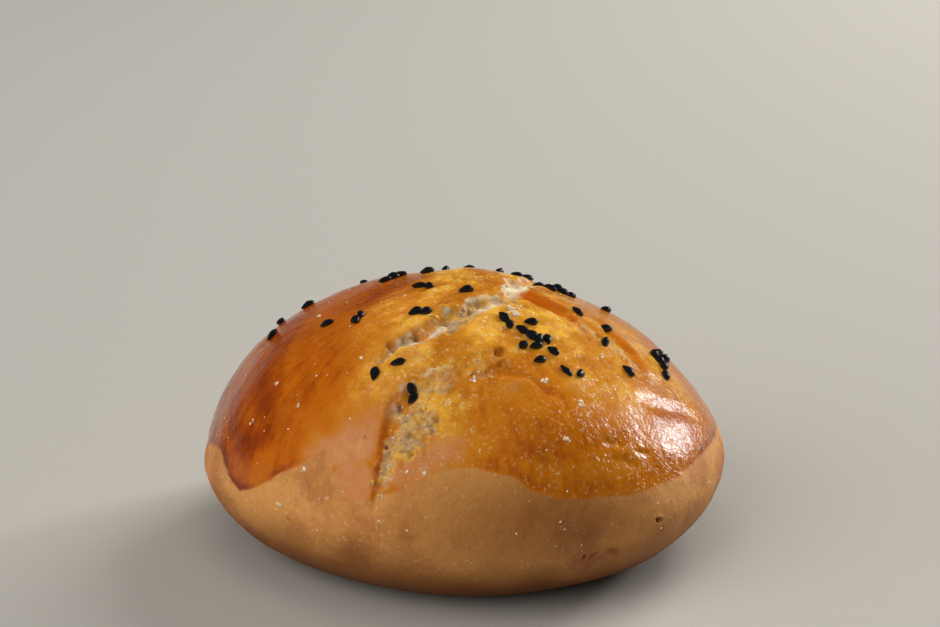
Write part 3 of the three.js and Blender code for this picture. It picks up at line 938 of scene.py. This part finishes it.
def make_piece(name, vertices, faces, material, slot):
    """A finished piece at the origin: vertices in millimetres, and its faces."""
    mesh = bpy.data.meshes.new(name)
    mesh.from_pydata((np.asarray(vertices) * MM).tolist(), [], faces)
    mesh.shade_smooth()
    mesh.materials.append(material)
    piece = put_in_scene(name, mesh)
    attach(piece, "root")
    return piece


def grid_lines(spacings):
    """Places of grid lines from -1 to 1, from (place, spacing) pairs in millimetres.

    The number of lines between two places is the integral of 1 / spacing.
    """
    place, spacing = np.array(spacings, dtype=float).T
    fine = np.linspace(place[0], place[-1], 4001)
    density = 1 / np.interp(fine, place, spacing)
    steps = (density[1:] + density[:-1]) / 2 * np.diff(fine)
    count = np.concatenate(((0,), np.cumsum(steps)))
    even = np.linspace(0, count[-1], int(round(count[-1])) + 1)
    return np.interp(even, count, fine) / place[-1]


# Spacing of the crust's grid lines: place on the chart and millimetres between lines.
GRID_ACROSS = (
    (-WALK_TO_BASE, 3.0), (-62, 0.9), (-28, 0.38), (22, 0.38), (36, 0.5), (58, 0.8),
    (WALK_TO_BASE, 3.0),
)
GRID_ALONG = (
    (-WALK_TO_BASE, 2.0), (-68, 0.6), (-52, 0.38), (-5, 0.38), (14, 0.7), (40, 2.4),
    (WALK_TO_BASE, 4.0),
)

# Rings under the base, as shares of the way from its edge to its middle.
BASE_RINGS = (0.12, 0.24, 0.34, 0.44, 0.52, 0.6)


def strip_faces(lines, closed=True):
    """Quads between each line of vertices and the next, where the lines may be loops."""
    quads = []
    for near, far in zip(lines[:-1], lines[1:]):
        corners = stacked(near, np.roll(near, -1), np.roll(far, -1), far).tolist()
        quads += corners if closed else corners[:-1]
    return quads


def add_layer(piece, name, kind, values):
    """Gives a piece's vertices a layer of numbers, or of vectors, that its shader reads."""
    layer = piece.data.attributes.new(name, kind, "POINT")
    key = "vector" if kind == "FLOAT_VECTOR" else "value"
    layer.data.foreach_set(key, np.asarray(values, dtype=np.float32).ravel())


class BREADROLL_OT_crust(bpy.types.Operator):
    """Makes the crust, with its tears and its finish"""

    bl_idname = "bread_roll.crust"
    bl_label = "Crust"

    def execute(self, context):
        across, along = grid_lines(GRID_ACROSS), grid_lines(GRID_ALONG)
        a, b = (grid.ravel() for grid in np.meshgrid(across, along))
        # a square laid smoothly on a disc: its rim is the ring where the base begins
        x = WALK_TO_BASE * a * np.sqrt(1 - b * b / 2)
        y = WALK_TO_BASE * b * np.sqrt(1 - a * a / 2)
        index = np.arange(len(x)).reshape(len(along), len(across))
        rim = np.concatenate(
            (index[0, :-1], index[:-1, -1], index[-1, :0:-1], index[:0:-1, 0])
        )
        # rings carry the crust on under the base, to the flat spot that it rests on
        loops = [rim]
        for share in BASE_RINGS:
            beyond = 1 + share * (math.pi / BASE_TURN - 1)
            loops.append(len(x) + np.arange(len(rim)))
            x = np.append(x, beyond * x[rim])
            y = np.append(y, beyond * y[rim])
        points, finish = crust_surface(x, y)
        faces = strip_faces(index, closed=False) + strip_faces(loops[::-1])
        faces.append(loops[-1][::-1].tolist())
        material = crust_material(context.scene.bread_roll_crust)
        piece = make_piece("baked_crust", points, faces, material, "crust")
        for name in FINISH_MARKS:
            add_layer(piece, name, "FLOAT", finish[name])
        brushed = wound(np.arctan2(y, x), np.hypot(x, y), *BRUSHED) * MM
        add_layer(piece, "brushed", "FLOAT_VECTOR", brushed)
        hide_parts("bread_roll")
        return {"FINISHED"}


# Nigella seeds, as pinches: chart x, chart y, how many, heading in degrees.
SEED_PINCHES = (
    (-36.5, 3.5, 1, 40), (-29.5, 12, 1, 25), (-24, -9, 1, 15), (-18.4, -11.2, 2, 65),
    (-16, -28, 1, 75), (-11.8, -26.5, 1, 10), (-9.6, -33, 2, 95), (-13, 8.5, 3, 50),
    (-7, -2.4, 2, -28), (-6.8, 8.7, 1, 15), (1, -7.6, 1, 15), (-7.6, -14.7, 2, -20),
    (1.2, 15.2, 1, 0), (8.6, -15.8, 2, -60), (13.4, -14.2, 1, 15), (12.3, -17.6, 2, -35),
    (14.1, -19.6, 2, 70), (16.1, -17.9, 1, 95), (11.2, -21.5, 1, 55), (16.9, -20.8, 1, -40),
    (14.2, -24.1, 1, 30), (19, -24.8, 1, -45), (21.6, -24.5, 1, 60), (22.8, -4.3, 1, 0),
    (28.7, -2.1, 1, 30), (27.8, -10.1, 1, 80), (32.2, -15.5, 1, -35), (39.9, -0.5, 3, -60),
    (40.8, 4, 2, 20), (41, -6.6, 1, -70), (12.4, 10.8, 2, 10), (17.1, 7.8, 2, -10),
    (21.2, 10.6, 2, 40),
)
SEED_STEP = 1.9
SEED_TURN = 1.6  # radians, the most between two seeds of a pinch
SEED_LIFT = 0.42  # of a seed's half height
# Loose seeds strewn on the far slope, between two bearings in degrees and two walks.
FAR_SEEDS = 12
FAR_BEARINGS = (20, 165)
FAR_WALKS = (17, 44)


def seed_places():
    """Chart places and headings of the seeds, by the same rule as the solid's."""
    places = []
    for x, y, count, degrees in SEED_PINCHES:
        heading = math.radians(degrees)
        for i in range(count):
            offset = (i - (count - 1) / 2) * SEED_STEP
            turned = SEED_TURN * (chance(len(places)) - 0.5) if count > 1 else 0
            step_x, step_y = offset * math.cos(heading), offset * math.sin(heading)
            places.append((x + step_x, y + step_y, heading + turned))
    (first, last), (near, far) = FAR_BEARINGS, FAR_WALKS
    for i in range(FAR_SEEDS):
        share = (i + 0.8 * chance(100 + i)) / FAR_SEEDS
        bearing = math.radians(first + share * (last - first))
        walk = near + chance(200 + i) * (far - near)
        x, y = walk * math.cos(bearing), walk * math.sin(bearing)
        places.append((x, y, math.tau * chance(300 + i)))
    return np.array(places)


def frames_on_crust(x, y, heading, reach):
    """Points on the crust, and unit vectors along the heading, to its side and up there."""
    east, north = reach * np.cos(heading), reach * np.sin(heading)
    steps = ((0, 0), (east, north), (-east, -north), (-north, east), (north, -east))
    here, ahead, back, left, right = (crust_surface(x + a, y + b)[0] for a, b in steps)
    along = unit(ahead - back)
    up = unit(np.cross(along, left - right))
    return here, along, np.cross(up, along), up


def loop_edges(loop):
    """Each vertex of a loop with the next one."""
    return stacked(loop, np.roll(loop, -1)).tolist()


def round_grid_faces(rings, around):
    """Quads of a tube of rings, closed by a fan at each end onto its two last vertices."""
    loops = np.arange(rings * around).reshape(rings, around)
    start, end = rings * around, rings * around + 1
    fans = [(start, b, a) for a, b in loop_edges(loops[0])]
    fans += [(end, a, b) for a, b in loop_edges(loops[-1])]
    return strip_faces(loops) + fans


def lumps(radii, frames, rings, around, shape, seed):
    """Many closed lumps on one grid of rings, each in its own frame.

    A lump's ring i is at share t = (i + 1) / (rings + 1) of its length, and its radius
    there comes from shape(t, angle, lump index).
    """
    t = (np.arange(rings) + 1) / (rings + 1)
    angle = np.arange(around) / around * math.tau
    t, angle = (grid.ravel() for grid in np.meshgrid(t, angle, indexing="ij"))
    vertices, faces = [], []
    pattern = round_grid_faces(rings, around)
    size = rings * around + 2
    for i, (long, wide, high) in enumerate(radii):
        here, *axes = (values[i] for values in frames)
        radius = shape(t, angle, i + seed)
        beside, over = radius * wide * np.cos(angle), radius * high * np.sin(angle)
        tips = ((-long, 0, 0), (long, 0, 0))
        body = np.vstack((stacked((2 * t - 1) * long, beside, over), tips))
        vertices.append(here + body @ np.stack(axes))
        faces += [tuple(v + i * size for v in face) for face in pattern]
    return np.vstack(vertices), faces


def seed_shape(t, angle, index):
    """Radius of a seed: a drop, blunt at its start and pointed at its end, with three
    rounded ridges and faint wrinkles."""
    drop = np.sin(math.pi * t**1.25) ** 0.62
    ridges = 1 + 0.10 * np.cos(3 * angle + 2.1 * index) * np.sin(math.pi * t)
    spots = stacked(3 * t, np.cos(angle), np.sin(angle))
    return drop * ridges * (1 + 0.12 * unevenness(spots + 3.7 * index, 0.45))


def crumb_shape(t, angle, index):
    """Radius of a crumb: a ball broken by deep unevenness."""
    spots = stacked(2 * t, np.cos(angle), np.sin(angle))
    ball = np.sqrt(np.clip(1 - (2 * t - 1) ** 2, 0.02, 1))
    return ball * (1 + 0.6 * unevenness(spots + 5.3 * index, 0.8))


class BREADROLL_OT_seeds(bpy.types.Operator):
    """Strews the nigella seeds"""

    bl_idname = "bread_roll.seeds"
    bl_label = "Nigella seeds"

    def execute(self, context):
        settings = context.scene.bread_roll_seeds
        places = seed_places()
        index = np.arange(len(places))
        long = settings.seed_length / MM / 2 * (0.9 + 0.22 * chance(index + 400))
        wide = settings.seed_width / MM / 2 * (0.88 + 0.26 * chance(index + 500))
        high = wide * (0.82 + 0.18 * chance(index + 600))
        here, along, side, up = frames_on_crust(*places.T, reach=0.8)
        # a seed dips or lifts its point a little
        nod = 0.3 * (chance(index + 700) - 0.5)[:, None]
        along = unit(along + nod * up)
        up = np.cross(along, side)
        here = here + up * (SEED_LIFT * high)[:, None]
        frames = (here, along, side, up)
        grid = {"rings": 13, "around": 16, "shape": seed_shape, "seed": 0}
        body = lumps(stacked(long, wide, high), frames, **grid)
        piece = make_piece("nigella_seeds", *body, seed_material(settings), "seed")
        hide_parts("bread_roll")
        return {"FINISHED"}


# Clumps of flour: chart x, chart y, spread in millimetres and how many flecks.
FLOUR_CLUMPS = (
    (10.3, -12.6, 1.3, 26), (-14.9, -47.2, 0.6, 12), (-10.4, -5.8, 0.4, 5),
    (15, -28.7, 0.6, 10), (-8.3, -49.5, 0.5, 5), (-26, -2, 0.5, 4), (-35, -20, 0.4, 4),
    (-42.7, -24.2, 0.8, 5), (-31.3, -28.2, 0.5, 3), (-18.2, -23.1, 0.6, 4),
    (21.8, -31.4, 0.8, 8), (18.8, -40.3, 0.6, 5), (27.7, -14.9, 0.5, 4), (-34, -42, 0.9, 4),
    (-45, -46, 0.8, 4),
)
FLOUR_WALKS = (2, 74)
# Proportions of a crumb and of a fleck: length, width and height.
CRUMB_FORM = (1.7, 1, 0.55)
FLECK_FORM = (1.5, 1, 0.6)


class BREADROLL_OT_crumbs(bpy.types.Operator):
    """Strews loose crumbs along the tears, and flecks and clumps of flour"""

    bl_idname = "bread_roll.crumbs"
    bl_label = "Crumbs and flour"

    def execute(self, context):
        settings = context.scene.bread_roll_crumbs
        rng = np.random.default_rng(7)
        # two crumbs in three lie along the front tear, the others along the crown tear
        crown, front = (
            smooth_route(TEARS[name]["route"], STEPS_PER_TEAR) for name in ("crown", "front")
        )
        routes = (crown, front, front)
        picks = []
        for _ in range(settings.crumbs):
            route = routes[rng.integers(len(routes))]
            step = route[rng.integers(3, len(route) - 2)]
            picks.append(step[:2] + rng.normal(0, 0.4 + 0.6 * max(step[2], 0), 2))
        x, y = np.array(picks).T
        size = settings.crumb_size / MM / 2 * rng.uniform(0.3, 1, len(x)) ** 2
        frames = frames_on_crust(x, y, rng.uniform(0, math.tau, len(x)), reach=0.4)
        grid = {"rings": 5, "around": 8, "shape": crumb_shape, "seed": 50}
        body = lumps(size[:, None] * CRUMB_FORM, frames, **grid)
        material = crumb_material(context.scene.bread_roll_crust)
        make_piece("loose_crumbs", *body, material, "crumb")

        # flour lies thinly all over the roll's top and sides, and in a few clumps
        picks, sizes = [], []
        for centre_x, centre_y, spread, count in FLOUR_CLUMPS:
            picks.append(rng.normal((centre_x, centre_y), spread / 2, (count, 2)))
            sizes.append(0.2 + (0.35 + 0.4 * spread) * rng.uniform(0, 1, count) ** 2)
        near, far = FLOUR_WALKS
        walk = np.sqrt(rng.uniform(near**2, far**2, settings.flecks))
        bearing = rng.uniform(0, math.tau, settings.flecks)
        picks.append(stacked(walk * np.cos(bearing), walk * np.sin(bearing)))
        sizes.append(settings.fleck_size / MM * rng.uniform(0.5, 1.25, settings.flecks) ** 2)
        x, y = np.vstack(picks).T
        size = np.concatenate(sizes) / 2
        frames = frames_on_crust(x, y, rng.uniform(0, math.tau, len(x)), reach=0.3)
        grid = {"rings": 3, "around": 6, "shape": crumb_shape, "seed": 900}
        body = lumps(size[:, None] * FLECK_FORM, frames, **grid)
        make_piece("flour_flecks", *body, flour_material(), "flour")
        return {"FINISHED"}


# The stage, in metres. Lamps: name, place, width, height, power in watts, and whether the
# glaze mirrors it.
LAMPS = (
    ("window_right", (1.22, 0.84, 0.52), 0.20, 0.32, 10.5, True),
    ("window_haze", (0.90, 0.95, 0.99), 0.8, 0.8, 19.0, False),
    ("fill_left", (-1.05, -0.87, 0.88), 1.5, 1.5, 16.0, False),
    ("fill_front", (-0.16, -1.12, 1.17), 1.4, 1.4, 3.0, False),
    ("side_left", (-1.49, -0.19, 0.60), 1.2, 1.2, 4.0, False),
    ("overhead", (0, -0.1, 1.62), 1.2, 1.2, 6.0, False),
)
FLOOR_REACH = 3.0
TARGET = Vector((0.00098, 0.00007, 0.04639))
CAMERA_PITCH = math.radians(18.5)
CAMERA_DISTANCE = 0.44809


class BREADROLL_OT_stage(bpy.types.Operator):
    """Makes the floor, the lights and the camera"""

    bl_idname = "bread_roll.stage"
    bl_label = "Stage"

    def execute(self, context):
        settings = context.scene.bread_roll_stage
        material, tree, shader = new_material("matt_studio_paper")
        fill(tree, shader, {"Base Color": settings.floor, "Roughness": 0.9})
        mesh = bpy.data.meshes.new("floor")
        far = FLOOR_REACH
        corners = [(-far, -far, 0), (far, -far, 0), (far, far, 0), (-far, far, 0)]
        mesh.from_pydata(corners, [], [(0, 1, 2, 3)])
        mesh.materials.append(material)
        floor = put_in_scene("floor", mesh)

        for name, place, width, height, power, mirrored in LAMPS:
            data = bpy.data.lights.new(name, "AREA")
            data.shape = "RECTANGLE"
            data.size = width
            data.size_y = height
            data.energy = power
            lamp = put_in_scene(name, data, place, TARGET - Vector(place))
            lamp.visible_glossy = mirrored

        world = bpy.data.worlds.new("studio")
        world.use_nodes = True
        tree = world.node_tree
        background = {"Color": (1, 0.98, 0.95), "Strength": 0.05}
        fill(tree, tree.nodes["Background"], background)
        context.scene.world = world
        context.scene.view_settings.view_transform = "Standard"

        data = bpy.data.cameras.new("camera")
        data.lens = settings.focal_length
        data.sensor_width = 36
        data.clip_start = 0.01
        back = Vector((0, -math.cos(CAMERA_PITCH), math.sin(CAMERA_PITCH)))
        camera = put_in_scene("camera", data, TARGET + back * CAMERA_DISTANCE, -back)
        context.scene.camera = camera
        return {"FINISHED"}


OPERATORS = (
    BREADROLL_OT_crust,
    BREADROLL_OT_seeds,
    BREADROLL_OT_crumbs,
    BREADROLL_OT_stage,
)
SETTINGS = {
    "bread_roll_crust": CrustSettings,
    "bread_roll_seeds": SeedSettings,
    "bread_roll_crumbs": CrumbSettings,
    "bread_roll_stage": StageSettings,
}


class BREADROLL_PT_panel(bpy.types.Panel):
    """Lists the roll's settings and the operators that make its pieces"""

    bl_idname = "BREADROLL_PT_panel"
    bl_label = "Bread roll"
    bl_space_type = "VIEW_3D"
    bl_region_type = "UI"
    bl_category = "Bread roll"

    def draw(self, context):
        for name, operator in zip(SETTINGS, OPERATORS):
            box = self.layout.box()
            group = getattr(context.scene, name)
            # every property group has two of Blender's own first
            for setting in group.bl_rna.properties.keys()[2:]:
                box.prop(group, setting)
            box.operator(operator.bl_idname)


def register():
    for name, group in SETTINGS.items():
        bpy.utils.register_class(group)
        setattr(bpy.types.Scene, name, PointerProperty(type=group))
    for operator in OPERATORS:
        bpy.utils.register_class(operator)
    bpy.utils.register_class(BREADROLL_PT_panel)


def unregister():
    bpy.utils.unregister_class(BREADROLL_PT_panel)
    for operator in reversed(OPERATORS):
        bpy.utils.unregister_class(operator)
    for name, group in reversed(SETTINGS.items()):
        delattr(bpy.types.Scene, name)
        bpy.utils.unregister_class(group)


def main():
    register()
    bpy.ops.bread_roll.crust()
    bpy.ops.bread_roll.seeds()
    bpy.ops.bread_roll.crumbs()
    bpy.ops.bread_roll.stage()


if __name__ == "__main__":
    main()
